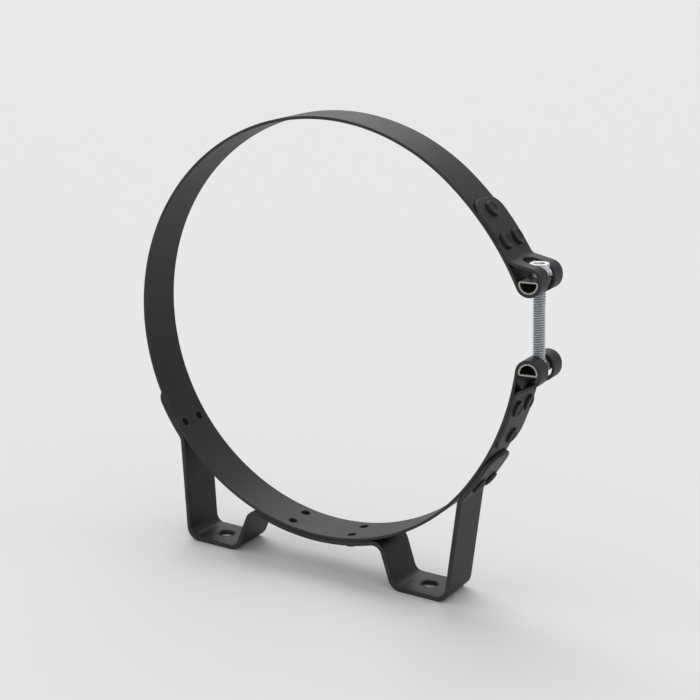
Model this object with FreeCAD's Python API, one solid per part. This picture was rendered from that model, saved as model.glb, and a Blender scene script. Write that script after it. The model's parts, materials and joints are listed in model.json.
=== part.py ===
import FreeCAD, Part
import math
import os

# Band clamp for a round canister, standing on a two-footed bracket.
# The ring axis runs along Y. The origin lies on the floor plane, midway
# between the two foot holes and straight below the ring centre. +X points
# to the side where the clamp screw closes the ring.

Vector = FreeCAD.Vector

# Band: one steel strip, rolled to a ring, with each end folded back on itself
ring_radius = 132.0          # inside of the ring
band_width = 32.0
band_thick = 1.9
ring_height = 157.5          # ring centre above the floor
layer_gap = 0.08             # hairline between the folded layers
flex_gap = 0.3               # cut that stands for the springy left side
flex_angle = 180.0           # place of that cut round the ring

# Arms: where the band leaves the true circle towards its two loops
upper_arm_angle = 52.0
lower_arm_angle = -85.0
lower_arm_turn = 48.9
lower_arm_radius = 124.0

# Loops: the folds that hold the trunnions
upper_pivot = (135.9, 51.2)   # x and z from the ring centre
lower_pivot = (138.85, -1.9)
loop_stretch = 1.15           # straight piece that makes each loop a little long
upper_lap_slope = 10.0        # slope of the returning layer, from the horizontal
lower_lap_slope = 29.7
lap_bend_radius = 5.5
upper_lap_length = 39.0       # returning layer, from its bend to its tip
lower_lap_length = 37.5
lap_corner = 9.5
slot_width = 8.6
slot_end_depth = 3.0          # depth of the cut at the round end, where the sheet curves away
head_slot_width = 13.8        # wider part of the upper slot, round the screw head
head_slot_overrun = 1.0       # from the lap's bend to the slot's round end
head_slot_start = 3.0         # where that starts above the pivot, along the screw

# Trunnions: D-shaped rolled tubes
trunnion_radius = 6.2
trunnion_flat = 1.5           # flat face above the centre of the round side
trunnion_wall = 1.1
trunnion_corner = 1.6
trunnion_seam = 0.3
pivot_clearance = 0.1
screw_hole_radius = 4.5

# Socket head clamp screw, 5/16-18, and its threaded insert
screw_radius = 3.97
screw_length = 63.5
screw_chamfer = 0.9
head_radius = 5.95
head_height = 7.94
head_chamfer = 0.5
socket_across_flats = 6.35
socket_depth = 4.0
seat_gap = 0.03
insert_bore = 4.32
insert_radius = 4.8
insert_reach = 1.6            # end of the insert past the trunnion centre
insert_flange_radius = 5.6
insert_clearance = 0.02
insert_flange_thick = 1.0

# Foot bracket: one thicker strip bent to two feet
bracket_thick = 3.1
bracket_bend_radius = 6.0     # inside radius of its bends
saddle_bend_radius = 6.1      # the same where the middle part turns down
left_saddle_angle = 18.2      # middle part under the ring, each side of the bottom
right_saddle_angle = 16.7
inner_leg_heading = -70.3
outer_leg_heading = 84.8
foot_flat_length = 24.9
left_tab_length = 32.4        # from the top bend of an outer leg to the tab's tip
right_tab_length = 31.8
tab_corner = 8.0
foot_hole_radius = 5.1
foot_hole_spacing = 152.4
ring_offset = 2.1             # ring centre from the middle of the two foot holes

# Clinch joints: a pit pressed from inside and a raised button outside
clinch_spacing = 8.0          # half the distance across the band
pit_radius = 2.8
button_radius = 5.0
button_height = 1.7
button_edge = 0.6
dish_radius = 3.0
dish_depth = 0.5
plug_radius = 3.7
plug_depth = 1.6
plug_floor = 0.7
plug_clearance = 0.03
tip_to_clinch = 8.3
clinch_step = 20.7
saddle_clinch_angle = 9.5
left_tab_clinch = 25.8         # from a tab's tip to its pair of clinch joints
right_tab_clinch = 21.5

# Modelling allowances
cut_past = 1.0                # how far a cutting tool runs past the face it leaves
same_place = 1e-4             # two heights closer than this are the same face

half_band = band_thick / 2
ring_line = ring_radius + half_band
bracket_step = half_band + layer_gap + bracket_thick / 2
bracket_line = ring_line + bracket_step
loop_line = trunnion_radius + pivot_clearance + half_band


def unit(angle):
    """Unit vector in the ring's plane, as (x, z)."""
    return math.cos(math.radians(angle)), math.sin(math.radians(angle))


def place(x, z, y=0.0):
    """Point in the ring's own frame, where the ring centre is the origin."""
    return Vector(x, y, z)


def angle_of(x, z):
    return math.degrees(math.atan2(z, x))


def follow(start, heading, moves):
    """Walk a centreline. A move is ("line", length) or ("arc", radius, turn)."""
    pieces = []
    x, z = start
    for move in moves:
        if move[0] == "line":
            dx, dz = unit(heading)
            end = (x + dx * move[1], z + dz * move[1])
            pieces.append({"kind": "line", "from": (x, z), "to": end, "heading": heading})
        else:
            radius, turn = move[1], move[2]
            side = 1 if turn > 0 else -1
            nx, nz = unit(heading + 90 * side)
            centre = (x + nx * radius, z + nz * radius)
            first = heading - 90 * side
            ex, ez = unit(first + turn)
            end = (centre[0] + ex * radius, centre[1] + ez * radius)
            pieces.append({"kind": "arc", "centre": centre, "radius": radius,
                           "first": first, "turn": turn, "side": side,
                           "from": (x, z), "to": end, "heading": heading})
            heading += turn
        x, z = end
    return pieces


def path_end(pieces):
    """Last point and heading of a walked centreline."""
    last = pieces[-1]
    heading = last["heading"] + last.get("turn", 0.0)
    return last["to"], heading


def side_edge(piece, offset, y):
    """One edge parallel to a centreline piece, offset to its left."""
    if piece["kind"] == "line":
        nx, nz = unit(piece["heading"] + 90)
        ends = [place(p[0] + nx * offset, p[1] + nz * offset, y) for p in (piece["from"], piece["to"])]
        return Part.LineSegment(ends[0], ends[1]).toShape()
    radius = piece["radius"] - offset * piece["side"]
    cx, cz = piece["centre"]
    points = []
    for share in (0.0, 0.5, 1.0):
        dx, dz = unit(piece["first"] + piece["turn"] * share)
        points.append(place(cx + dx * radius, cz + dz * radius, y))
    return Part.Arc(points[0], points[1], points[2]).toShape()


def strip(pieces, low, high, width):
    """Bent strip between two offsets of a centreline, centred on Y."""
    y = -width / 2
    left = [side_edge(piece, high, y) for piece in pieces]
    right = [side_edge(piece, low, y) for piece in pieces]
    caps = []
    for index, which in ((0, 0), (-1, 1)):
        a = left[index].Vertexes[which].Point
        b = right[index].Vertexes[which].Point
        caps.append(Part.LineSegment(a, b).toShape())
    wire = Part.Wire(Part.__sortEdges__(left + right + caps))
    return Part.Face(wire).extrude(Vector(0, width, 0))


def peg(base, axis, radius, length):
    """Cylinder from a base point along an axis given as (x, z)."""
    direction = Vector(axis[0], 0, axis[1])
    return Part.makeCylinder(radius, length, base, direction)


def band_half(start_moves, pivot, side, lap_slope, lap_length):
    """Path of one half of the band, from the flexing cut to its lap tip.

    side is 1 where the half runs counter-clockwise round the ring.
    """
    cut = math.degrees(flex_gap / 2 / ring_line)
    first = flex_angle + side * cut
    x, z = unit(first)
    start = (x * ring_line, z * ring_line)
    heading = first + 90 * side
    path = follow(start, heading, start_moves(first))
    here, heading = path_end(path)

    # The arm: one long arc that ends where it touches the loop
    nx, nz = unit(heading + 90 * side)
    vx, vz = pivot[0] - here[0], pivot[1] - here[1]
    arm_radius = (vx * vx + vz * vz - loop_line ** 2) / (2 * (loop_line + vx * nx + vz * nz))
    centre = (here[0] + nx * arm_radius, here[1] + nz * arm_radius)
    touch = angle_of(pivot[0] - centre[0], pivot[1] - centre[1])
    leave = angle_of(here[0] - centre[0], here[1] - centre[1])
    arm_turn = (touch - leave + 180) % 360 - 180
    path += follow(here, heading, [("arc", arm_radius, arm_turn)])

    # The loop: round the trunnion, a short straight, and over to the lap
    here, heading = path_end(path)
    upright = -90.0 * side
    wrap = (upright - heading) * -side % 360 * -side
    path += follow(here, heading, [("arc", loop_line, wrap), ("line", loop_stretch)])
    here, heading = path_end(path)
    over = -side * (90 - lap_slope)
    path += follow(here, heading, [("arc", loop_line, over)])

    # The straight back to the band, until its bend meets the arm's outer face
    here, heading = path_end(path)
    lap_radius = arm_radius + band_thick + layer_gap
    hx, hz = unit(heading)
    bx, bz = unit(heading + 90 * side)
    px = here[0] + bx * lap_bend_radius - centre[0]
    pz = here[1] + bz * lap_bend_radius - centre[1]
    along = px * hx + pz * hz
    reach = (lap_radius + lap_bend_radius) ** 2
    length = -along - math.sqrt(along ** 2 - (px * px + pz * pz) + reach)
    bend_angle = angle_of(px + hx * length, pz + hz * length)
    lap_heading = bend_angle - 90 * side
    bend = (lap_heading - heading + 180) % 360 - 180
    back = -side * math.degrees(lap_length / lap_radius)
    path += follow(here, heading, [("line", length), ("arc", lap_bend_radius, bend),
                                   ("arc", lap_radius, back)])
    tip_angle = bend_angle + back
    return {"path": path, "centre": centre, "arm_radius": arm_radius, "lap_radius": lap_radius,
            "tip_angle": tip_angle, "side": side, "bend": len(path) - 2}


def upper_moves(first):
    return [("arc", ring_line, upper_arm_angle - first)]


def lower_moves(first):
    return [("arc", ring_line, lower_arm_angle + 360 - first),
            ("arc", lower_arm_radius, lower_arm_turn)]


def clinch_button(point, axis, layers):
    """Raised button with a dished top, from a point inside the sheet."""
    x, z = point
    inner = place(x, z)
    body = peg(inner, axis, button_radius, layers + button_height)
    body = body.makeFillet(button_edge, top_edges(body, axis))
    dish_at = inner + Vector(axis[0], 0, axis[1]) * (layers + button_height - dish_depth)
    body = body.cut(peg(dish_at, axis, dish_radius, dish_depth))
    return body


def top_edges(body, axis):
    """Circular edges at the far end of a peg."""
    direction = Vector(axis[0], 0, axis[1])
    reach = max(edge.CenterOfMass.dot(direction) for edge in body.Edges if edge.Closed)
    return [e for e in body.Edges if e.Closed and abs(e.CenterOfMass.dot(direction) - reach) < same_place]


def shifted(shape, y):
    moved = shape.copy()
    moved.translate(Vector(0, y, 0))
    return moved


def round_lap_tip(solid, half):
    """Round the two corners at the tip of the lap."""
    radius = half["lap_radius"]
    turn = half["side"] * math.degrees(lap_corner / radius)
    cx, cz = half["centre"]
    dx, dz = unit(half["tip_angle"] + turn)
    tx, tz = unit(half["tip_angle"] + turn - 90 * half["side"])
    out = Vector(dx, 0, dz)
    along = Vector(tx, 0, tz)
    base = place(cx + dx * (radius - half_band), cz + dz * (radius - half_band)) - out * layer_gap / 2
    depth = 2 * band_thick
    for y in (-1, 1):
        corner = base + Vector(0, y * (band_width / 2 - lap_corner), 0)
        block = Part.makePolygon([corner, corner + Vector(0, y * 2 * lap_corner, 0),
                                  corner + Vector(0, y * 2 * lap_corner, 0) + along * 2 * lap_corner,
                                  corner + along * 2 * lap_corner, corner])
        prism = Part.Face(block).extrude(out * depth)
        round_bar = Part.makeCylinder(lap_corner, depth, corner, out)
        solid = solid.cut(prism.cut(round_bar))
    return solid


def slot_cutter(half):
    """Solid that clears the slot: round the loop, from the screw to the lap's bend."""
    path = half["path"]
    bend = half["bend"]
    loop = [dict(piece) for piece in path[bend - 4:bend]]
    first = loop[0]
    pivot_angle = screw_angle(half["side"])
    start_turn = (pivot_angle - first["first"]) % (360 * -half["side"])
    short = follow_arc(first, start_turn)
    pieces = [short] + loop[1:]
    grow = (band_thick + layer_gap) / 2
    if half["side"] == -1:
        pieces[-1] = drawn_back(pieces[-1])
    body = strip(pieces, -grow, grow, slot_width)
    ends = ((short["from"], short["heading"], slot_end_depth), path_end(pieces) + (grow,))
    for at, heading, deep in ends:
        nx, nz = unit(heading + 90)
        base = place(at[0] - nx * deep, at[1] - nz * deep)
        body = body.fuse(peg(base, (nx, nz), slot_width / 2, 2 * deep))
    return body


def head_slot_cutter(half):
    """Solid that clears the wide part of the upper slot, which the screw head stands in."""
    width = head_slot_width
    axis = unit(screw_angle(1))
    foot = place(upper_pivot[0] + axis[0] * head_slot_start, upper_pivot[1] + axis[1] * head_slot_start)
    body = peg(foot, axis, width / 2, 2 * loop_line)
    lap = drawn_back(half["path"][half["bend"] - 1])
    grow = (band_thick + layer_gap) / 2
    body = body.fuse(strip([lap], -grow, grow, width))
    nx, nz = unit(lap["heading"] + 90)
    base = place(lap["to"][0] - nx * grow, lap["to"][1] - nz * grow)
    return body.fuse(peg(base, (nx, nz), width / 2, 2 * grow))


def drawn_back(lap):
    """The straight of the upper lap, up to where the slot's round end is centred."""
    dx, dz = unit(lap["heading"])
    back = head_slot_width / 2 - head_slot_overrun
    return dict(lap, to=(lap["to"][0] - dx * back, lap["to"][1] - dz * back))


def follow_arc(piece, skip):
    """The rest of an arc piece after its first skip degrees."""
    rest = dict(piece)
    rest["first"] = piece["first"] + skip
    rest["turn"] = piece["turn"] - skip
    dx, dz = unit(rest["first"])
    rest["from"] = (piece["centre"][0] + dx * piece["radius"], piece["centre"][1] + dz * piece["radius"])
    rest["heading"] = piece["heading"] + skip
    return rest


def screw_angle(side):
    """Direction of the screw axis from a pivot, towards the other trunnion."""
    dx = lower_pivot[0] - upper_pivot[0]
    dz = lower_pivot[1] - upper_pivot[1]
    towards_lower = angle_of(dx, dz)
    return towards_lower if side == -1 else towards_lower + 180


def make_band_half(half, bracket_clinches):
    solid = strip(half["path"], -half_band, half_band, band_width)
    solid = round_lap_tip(solid, half)
    solid = solid.cut(slot_cutter(half))
    if half["side"] == -1:
        solid = solid.cut(head_slot_cutter(half))
    cx, cz = half["centre"]
    inner_face = half["arm_radius"] - half_band
    stack = 2 * band_thick + layer_gap
    pits = []
    for distance, rows in ((tip_to_clinch, (0,)), (tip_to_clinch + clinch_step, (-1, 1))):
        angle = half["tip_angle"] + half["side"] * math.degrees(distance / half["lap_radius"])
        axis = unit(angle)
        foot = (cx + axis[0] * (inner_face + half_band), cz + axis[1] * (inner_face + half_band))
        for row in rows:
            solid = solid.fuse(shifted(clinch_button(foot, axis, stack - half_band), row * clinch_spacing))
            pit_start = inner_face - cut_past
            pit_from = place(cx + axis[0] * pit_start, cz + axis[1] * pit_start)
            pit_depth = stack + button_height - dish_depth - plug_floor
            pits.append(shifted(peg(pit_from, axis, pit_radius, pit_depth + cut_past), row * clinch_spacing))
    for foot, axis in bracket_clinches:
        for row in (-1, 1):
            plug = peg(place(*foot), axis, plug_radius, half_band + plug_depth)
            solid = solid.fuse(shifted(plug, row * clinch_spacing))
            back = half_band + cut_past
            pit_from = place(foot[0] - axis[0] * back, foot[1] - axis[1] * back)
            pit_depth = cut_past + band_thick + plug_depth - plug_floor
            pits.append(shifted(peg(pit_from, axis, pit_radius, pit_depth), row * clinch_spacing))
    for pit in pits:
        solid = solid.cut(pit)
    return solid.removeSplitter()


def bracket_path(saddle_angle, tab_length, centre, tab_line):
    """One half of the bracket's centreline, from under the ring to the tab tip.

    The half goes towards +X. Its tab follows the circle of radius tab_line about centre.
    """
    bend = bracket_bend_radius + bracket_thick / 2
    first_bend = saddle_bend_radius + bracket_thick / 2
    start = (0.0, -bracket_line)
    moves = [("arc", bracket_line, saddle_angle), ("arc", first_bend, inner_leg_heading - saddle_angle)]
    here, heading = path_end(follow(start, 0.0, moves))
    foot_line = -ring_height + bracket_thick / 2
    drop = here[1] - foot_line - bend * (1 - unit(heading)[0])
    moves.append(("line", drop / -unit(heading)[1]))
    moves.append(("arc", bend, -inner_leg_heading))
    moves.append(("line", foot_flat_length))
    moves.append(("arc", bend, outer_leg_heading))
    here, heading = path_end(follow(start, 0.0, moves))

    # The outer leg, as long as it takes for its top bend to meet the band
    hx, hz = unit(heading)
    rx, rz = unit(heading - 90)
    px, pz = here[0] + rx * bend - centre[0], here[1] + rz * bend - centre[1]
    along = px * hx + pz * hz
    reach = (tab_line + bend) ** 2
    length = -along - math.sqrt(along ** 2 - (px * px + pz * pz) + reach)
    top_angle = angle_of(px + hx * length, pz + hz * length)
    moves.append(("line", length))
    moves.append(("arc", bend, top_angle + 90 - heading))
    moves.append(("arc", tab_line, math.degrees(tab_length / tab_line)))
    return follow(start, 0.0, moves)


def tab_spot(path, centre, tab_line, distance):
    """Point on the band's centreline under a tab, and the outward axis there."""
    tip = path_end(path)[0]
    angle = angle_of(tip[0] - centre[0], tip[1] - centre[1]) - math.degrees(distance / tab_line)
    axis = unit(angle)
    radius = tab_line - bracket_step
    return (centre[0] + axis[0] * radius, centre[1] + axis[1] * radius), axis


def round_tab_tip(solid, path, centre, tab_line):
    """Round the two corners at the tip of a tab."""
    foot, axis = tab_spot(path, centre, tab_line, tab_corner)
    out = Vector(axis[0], 0, axis[1])
    along = Vector(-axis[1], 0, axis[0])
    depth = bracket_thick + 2 * cut_past
    base = place(*foot) + out * half_band
    for y in (-1, 1):
        corner = base + Vector(0, y * (band_width / 2 - tab_corner), 0)
        side = Vector(0, y * 2 * tab_corner, 0)
        block = Part.makePolygon([corner, corner + side, corner + side + along * 2 * tab_corner,
                                  corner + along * 2 * tab_corner, corner])
        prism = Part.Face(block).extrude(out * depth)
        solid = solid.cut(prism.cut(Part.makeCylinder(tab_corner, depth, corner, out)))
    return solid


def bracket_half(saddle_angle, tab_length, tab_clinch, centre, tab_line, hole_x):
    """Half of the bracket towards +X, and the places of its clinch joints."""
    path = bracket_path(saddle_angle, tab_length, centre, tab_line)
    half = strip(path, -bracket_thick / 2, bracket_thick / 2, band_width)
    half = round_tab_tip(half, path, centre, tab_line)
    hole_at = Vector(hole_x, 0, -ring_height - cut_past)
    half = half.cut(Part.makeCylinder(foot_hole_radius, bracket_thick + 2 * cut_past, hole_at))

    saddle_axis = unit(-90 + saddle_clinch_angle)
    saddle_spot = (saddle_axis[0] * ring_line, saddle_axis[1] * ring_line)
    spots = [(saddle_spot, saddle_axis), tab_spot(path, centre, tab_line, tab_clinch)]
    for foot, axis in spots:
        middle = (foot[0] + axis[0] * bracket_step, foot[1] + axis[1] * bracket_step)
        button = clinch_button(middle, axis, bracket_thick / 2)
        socket_from = place(*foot)
        socket_depth_out = half_band + plug_depth + plug_clearance
        socket = peg(socket_from, axis, plug_radius + plug_clearance, socket_depth_out)
        for row in (-1, 1):
            half = half.fuse(shifted(button, row * clinch_spacing))
            half = half.cut(shifted(socket, row * clinch_spacing))
    return half, spots


def make_bracket(lower):
    """Whole bracket, and the clinch joints that hold it to the band."""
    arm_tab = lower["arm_radius"] + bracket_step
    right, right_spots = bracket_half(right_saddle_angle, right_tab_length, right_tab_clinch,
                                      lower["centre"], arm_tab, foot_hole_spacing / 2 - ring_offset)
    left, left_spots = bracket_half(left_saddle_angle, left_tab_length, left_tab_clinch,
                                    (0.0, 0.0), bracket_line, foot_hole_spacing / 2 + ring_offset)
    left = left.mirror(Vector(0, 0, 0), Vector(1, 0, 0))
    spots = right_spots + [((-foot[0], foot[1]), (-axis[0], axis[1])) for foot, axis in left_spots]
    return right.fuse(left).removeSplitter(), spots


def d_outline(shrink):
    """D-shaped outline about the pivot, flat side towards +Z, as a wire in XZ."""
    radius = trunnion_radius - shrink
    flat = trunnion_flat - shrink
    corner = trunnion_corner - shrink
    reach = radius - corner
    height = flat - corner
    half_width = math.sqrt(reach ** 2 - height ** 2)
    turn = math.degrees(math.atan2(height, half_width))

    def spot(cx, cz, angle):
        dx, dz = unit(angle)
        return Vector(cx + dx * corner, 0, cz + dz * corner)

    right_low = Vector(radius * unit(turn)[0], 0, radius * unit(turn)[1])
    left_low = Vector(-right_low.x, 0, right_low.z)
    right_top = Vector(half_width, 0, flat)
    left_top = Vector(-half_width, 0, flat)
    edges = [Part.Arc(left_low, Vector(0, 0, -radius), right_low).toShape(),
             Part.Arc(right_low, spot(half_width, height, (turn + 90) / 2), right_top).toShape(),
             Part.LineSegment(right_top, left_top).toShape(),
             Part.Arc(left_top, spot(-half_width, height, 180 - (turn + 90) / 2), left_low).toShape()]
    return Part.Wire(Part.__sortEdges__(edges))


def make_trunnion(pivot, flat_angle, flat_hole_radius):
    """Rolled D tube, drilled for the screw. flat_angle is where its flat faces."""
    width = Vector(0, band_width, 0)
    tube = Part.Face(d_outline(0.0)).extrude(width)
    tube = tube.cut(Part.Face(d_outline(trunnion_wall)).extrude(width))
    tube.translate(Vector(0, -band_width / 2, 0))
    seam = Part.makeBox(trunnion_seam, band_width, 3 * trunnion_wall,
                        Vector(-trunnion_seam / 2, -band_width / 2, -trunnion_radius - trunnion_wall))
    tube = tube.cut(seam)
    tube = tube.cut(Part.makeCylinder(flat_hole_radius, trunnion_radius, Vector(0, 0, 0)))
    tube = tube.cut(Part.makeCylinder(screw_hole_radius, 2 * trunnion_radius, Vector(0, 0, -2 * trunnion_radius)))
    tube.rotate(Vector(0, 0, 0), Vector(0, 1, 0), 90 - flat_angle)
    tube.translate(place(pivot[0], pivot[1]))
    return tube


def make_screw():
    """Socket head cap screw about +Z with the seat of its head at zero."""
    shank = Part.makeCylinder(screw_radius, screw_length, Vector(0, 0, -screw_length))
    end = [e for e in shank.Edges if e.Closed and e.CenterOfMass.z < -screw_length + same_place]
    shank = shank.makeChamfer(screw_chamfer, end)
    head = Part.makeCylinder(head_radius, head_height, Vector(0, 0, 0))
    rim = [e for e in head.Edges if e.Closed and e.CenterOfMass.z > head_height - same_place]
    head = head.makeChamfer(head_chamfer, rim)
    corner = socket_across_flats / math.sqrt(3)
    points = [Vector(corner * unit(a)[0], corner * unit(a)[1], head_height - socket_depth)
              for a in range(0, 361, 60)]
    socket = Part.Face(Part.makePolygon(points)).extrude(Vector(0, 0, socket_depth))
    return shank.fuse(head.cut(socket))


def make_insert():
    """Threaded insert about +Z with the trunnion's flat at zero and the flange above it."""
    body = Part.makeCylinder(insert_radius, trunnion_flat + insert_reach,
                             Vector(0, 0, -trunnion_flat - insert_reach))
    flange = Part.makeCylinder(insert_flange_radius, insert_flange_thick)
    bore = Part.makeCylinder(insert_bore, 4 * trunnion_radius, Vector(0, 0, -2 * trunnion_radius))
    return body.fuse(flange).cut(bore).removeSplitter()


def on_screw_axis(shape, pivot, flat_angle, lift):
    """Turn a shape made about +Z to the screw axis and lift it off the pivot."""
    shape.rotate(Vector(0, 0, 0), Vector(0, 1, 0), 90 - flat_angle)
    dx, dz = unit(flat_angle)
    shape.translate(place(pivot[0] + dx * lift, pivot[1] + dz * lift))
    return shape


def main():
    os.makedirs("parts", exist_ok=True)
    upper = band_half(upper_moves, upper_pivot, -1, upper_lap_slope, upper_lap_length)
    lower = band_half(lower_moves, lower_pivot, 1, lower_lap_slope, lower_lap_length)
    up = screw_angle(1)
    down = screw_angle(-1)
    bracket, bracket_clinches = make_bracket(lower)
    shapes = {
        "band_upper": make_band_half(upper, []),
        "band_lower": make_band_half(lower, bracket_clinches),
        "foot_bracket": bracket,
        "upper_trunnion": make_trunnion(upper_pivot, up, screw_hole_radius),
        "lower_trunnion": make_trunnion(lower_pivot, down, insert_radius + insert_clearance),
        "threaded_insert": on_screw_axis(make_insert(), lower_pivot, down, trunnion_flat),
        "clamp_screw": on_screw_axis(make_screw(), upper_pivot, up, trunnion_flat + seat_gap),
    }
    for name, shape in shapes.items():
        shape.translate(Vector(ring_offset, 0, ring_height))
        shape.exportStep("parts/" + name + ".step")
        box = shape.BoundBox
        print(name, "solids", len(shape.Solids), "valid", shape.isValid(), "volume", round(shape.Volume, 1),
              "x", round(box.XMin, 2), round(box.XMax, 2), "z", round(box.ZMin, 2), round(box.ZMax, 2))


main()
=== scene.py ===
import json
import math
import bpy
import bmesh
import numpy as np
from mathutils import Matrix, Vector, geometry


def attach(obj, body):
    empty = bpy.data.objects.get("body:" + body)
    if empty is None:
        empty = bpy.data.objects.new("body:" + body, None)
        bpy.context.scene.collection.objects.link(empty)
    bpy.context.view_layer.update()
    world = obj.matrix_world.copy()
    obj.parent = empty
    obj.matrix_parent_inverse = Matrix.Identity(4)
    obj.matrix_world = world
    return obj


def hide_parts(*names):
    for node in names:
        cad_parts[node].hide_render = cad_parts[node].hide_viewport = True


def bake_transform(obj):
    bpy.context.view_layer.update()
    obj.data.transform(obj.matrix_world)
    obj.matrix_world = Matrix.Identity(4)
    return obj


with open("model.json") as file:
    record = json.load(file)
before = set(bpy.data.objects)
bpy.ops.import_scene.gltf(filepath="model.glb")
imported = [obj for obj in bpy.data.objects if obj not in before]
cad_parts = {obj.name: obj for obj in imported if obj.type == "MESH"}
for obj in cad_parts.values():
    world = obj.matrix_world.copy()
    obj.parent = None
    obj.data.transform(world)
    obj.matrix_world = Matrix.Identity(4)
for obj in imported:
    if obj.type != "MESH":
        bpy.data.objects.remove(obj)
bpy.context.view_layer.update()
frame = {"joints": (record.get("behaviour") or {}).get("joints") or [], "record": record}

record = frame["record"]
mounts = {mount["name"]: mount for mount in record["mounts"]}
joints = {joint["name"]: joint for joint in frame["joints"]}
mm = 0.001
ringCentre = Vector(mounts["band_bore"]["pos_m"])
ringRadius = mounts["band_bore"]["dims"]["r_mm"]


def fromRing(point):
    # a point of the frame, as x and z from the ring centre in mm
    return ((point[0] - ringCentre.x) / mm, (point[2] - ringCentre.z) / mm)


upperPivot = fromRing(joints["upper_swivel"]["pos_m"])
lowerPivot = fromRing(joints["lower_swivel"]["pos_m"])
screwAxis = Vector(joints["screw_spin"]["axis"]).normalized()


# bent sheet: a centreline of lines and arcs, and a flat blank that is bent along it

def unit(angle):
    return math.cos(math.radians(angle)), math.sin(math.radians(angle))


def angleOf(x, z):
    return math.degrees(math.atan2(z, x))


def follow(start, heading, moves):
    # a move is a length, or a radius with a turn in degrees (left is positive)
    pieces = []
    x, z = start
    for move in moves:
        piece = {"from": (x, z), "heading": heading, "turn": 0.0, "radius": 0.0}
        if isinstance(move, tuple):
            radius, turn = move
            side = 1 if turn > 0 else -1
            nx, nz = unit(heading + 90 * side)
            centre = (x + nx * radius, z + nz * radius)
            ex, ez = unit(heading - 90 * side + turn)
            x, z = centre[0] + ex * radius, centre[1] + ez * radius
            piece.update(turn=turn, radius=radius, centre=centre, length=abs(math.radians(turn)) * radius)
            heading += turn
        else:
            dx, dz = unit(heading)
            x, z = x + dx * move, z + dz * move
            piece["length"] = move
        piece["to"] = (x, z)
        pieces.append(piece)
    return pieces


def pathEnd(pieces):
    return pieces[-1]["to"], pieces[-1]["heading"] + pieces[-1]["turn"]


def turnedBack(pieces):
    back = []
    for piece in reversed(pieces):
        other = dict(piece)
        other.update({"from": piece["to"], "to": piece["from"], "turn": -piece["turn"],
                      "heading": piece["heading"] + piece["turn"] + 180})
        back.append(other)
    return back


def mirrored(pieces):
    flipped = []
    for piece in pieces:
        other = dict(piece)
        other.update({"from": (-piece["from"][0], piece["from"][1]), "to": (-piece["to"][0], piece["to"][1]),
                      "turn": -piece["turn"], "heading": 180 - piece["heading"]})
        if piece["radius"]:
            other["centre"] = (-piece["centre"][0], piece["centre"][1])
        flipped.append(other)
    return flipped


def startsOf(pieces):
    starts, total = [], 0.0
    for piece in pieces:
        starts.append(total)
        total += piece["length"]
    return starts, total


def onPath(pieces, starts, s):
    # centreline point and left normal at the distance s along the path
    index = len(pieces) - 1
    while index > 0 and s < starts[index]:
        index -= 1
    piece = pieces[index]
    along = s - starts[index]
    if piece["radius"]:
        turned = math.degrees(along / piece["radius"]) * (1 if piece["turn"] > 0 else -1)
        side = 1 if piece["turn"] > 0 else -1
        ex, ez = unit(piece["heading"] - 90 * side + turned)
        nx, nz = unit(piece["heading"] + turned + 90)
        return (piece["centre"][0] + ex * piece["radius"], piece["centre"][1] + ez * piece["radius"]), (nx, nz)
    dx, dz = unit(piece["heading"])
    return (piece["from"][0] + dx * along, piece["from"][1] + dz * along), unit(piece["heading"] + 90)


def stationsOf(pieces, tightStep, longStep, wideStep):
    # distances along the path that are close enough together for each bend
    starts, total = startsOf(pieces)
    stations = [0.0]
    for piece, start in zip(pieces, starts):
        if piece["radius"]:
            step = math.radians(tightStep) * piece["radius"] if piece["radius"] < 20 else longStep
        else:
            step = wideStep
        count = max(1, math.ceil(piece["length"] / step))
        stations += [start + piece["length"] * (i + 1) / count for i in range(count)]
    return stations


def arcPoints(cx, cy, radius, first, last, count):
    return [(cx + radius * unit(first + (last - first) * i / count)[0],
             cy + radius * unit(first + (last - first) * i / count)[1]) for i in range(count + 1)]


def inset(loop, distance):
    # the loop runs with the metal on its left, and moves that way
    moved = []
    for i, (x, y) in enumerate(loop):
        ax, ay = loop[i - 1]
        bx, by = loop[(i + 1) % len(loop)]
        ux, uy = x - ax, y - ay
        vx, vy = bx - x, by - y
        ul, vl = math.hypot(ux, uy) or 1.0, math.hypot(vx, vy) or 1.0
        nx, ny = -(uy / ul + vy / vl), ux / ul + vx / vl
        size = math.hypot(nx, ny) or 1.0
        nx, ny = nx / size, ny / size
        spread = max(0.5, nx * -uy / ul + ny * ux / ul)
        moved.append((x + nx * distance / spread, y + ny * distance / spread))
    return moved


def insideLoop(loop, x, y):
    ax, ay = loop[:, 0], loop[:, 1]
    bx, by = np.roll(ax, 1), np.roll(ay, 1)
    spans = (ay > y) != (by > y)
    rise = np.where(by == ay, 1.0, by - ay)
    return bool(np.count_nonzero(spans & (x < (bx - ax) * (y - ay) / rise + ax)) % 2)


def distanceToLoop(loop, x, y):
    start = loop
    run = np.roll(loop, -1, axis=0) - start
    size = np.maximum((run ** 2).sum(axis=1), 1e-12)
    share = np.clip((((x, y) - start) * run).sum(axis=1) / size, 0, 1)
    return float(np.hypot(*((x, y) - start - run * share[:, None]).T).min())


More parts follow.
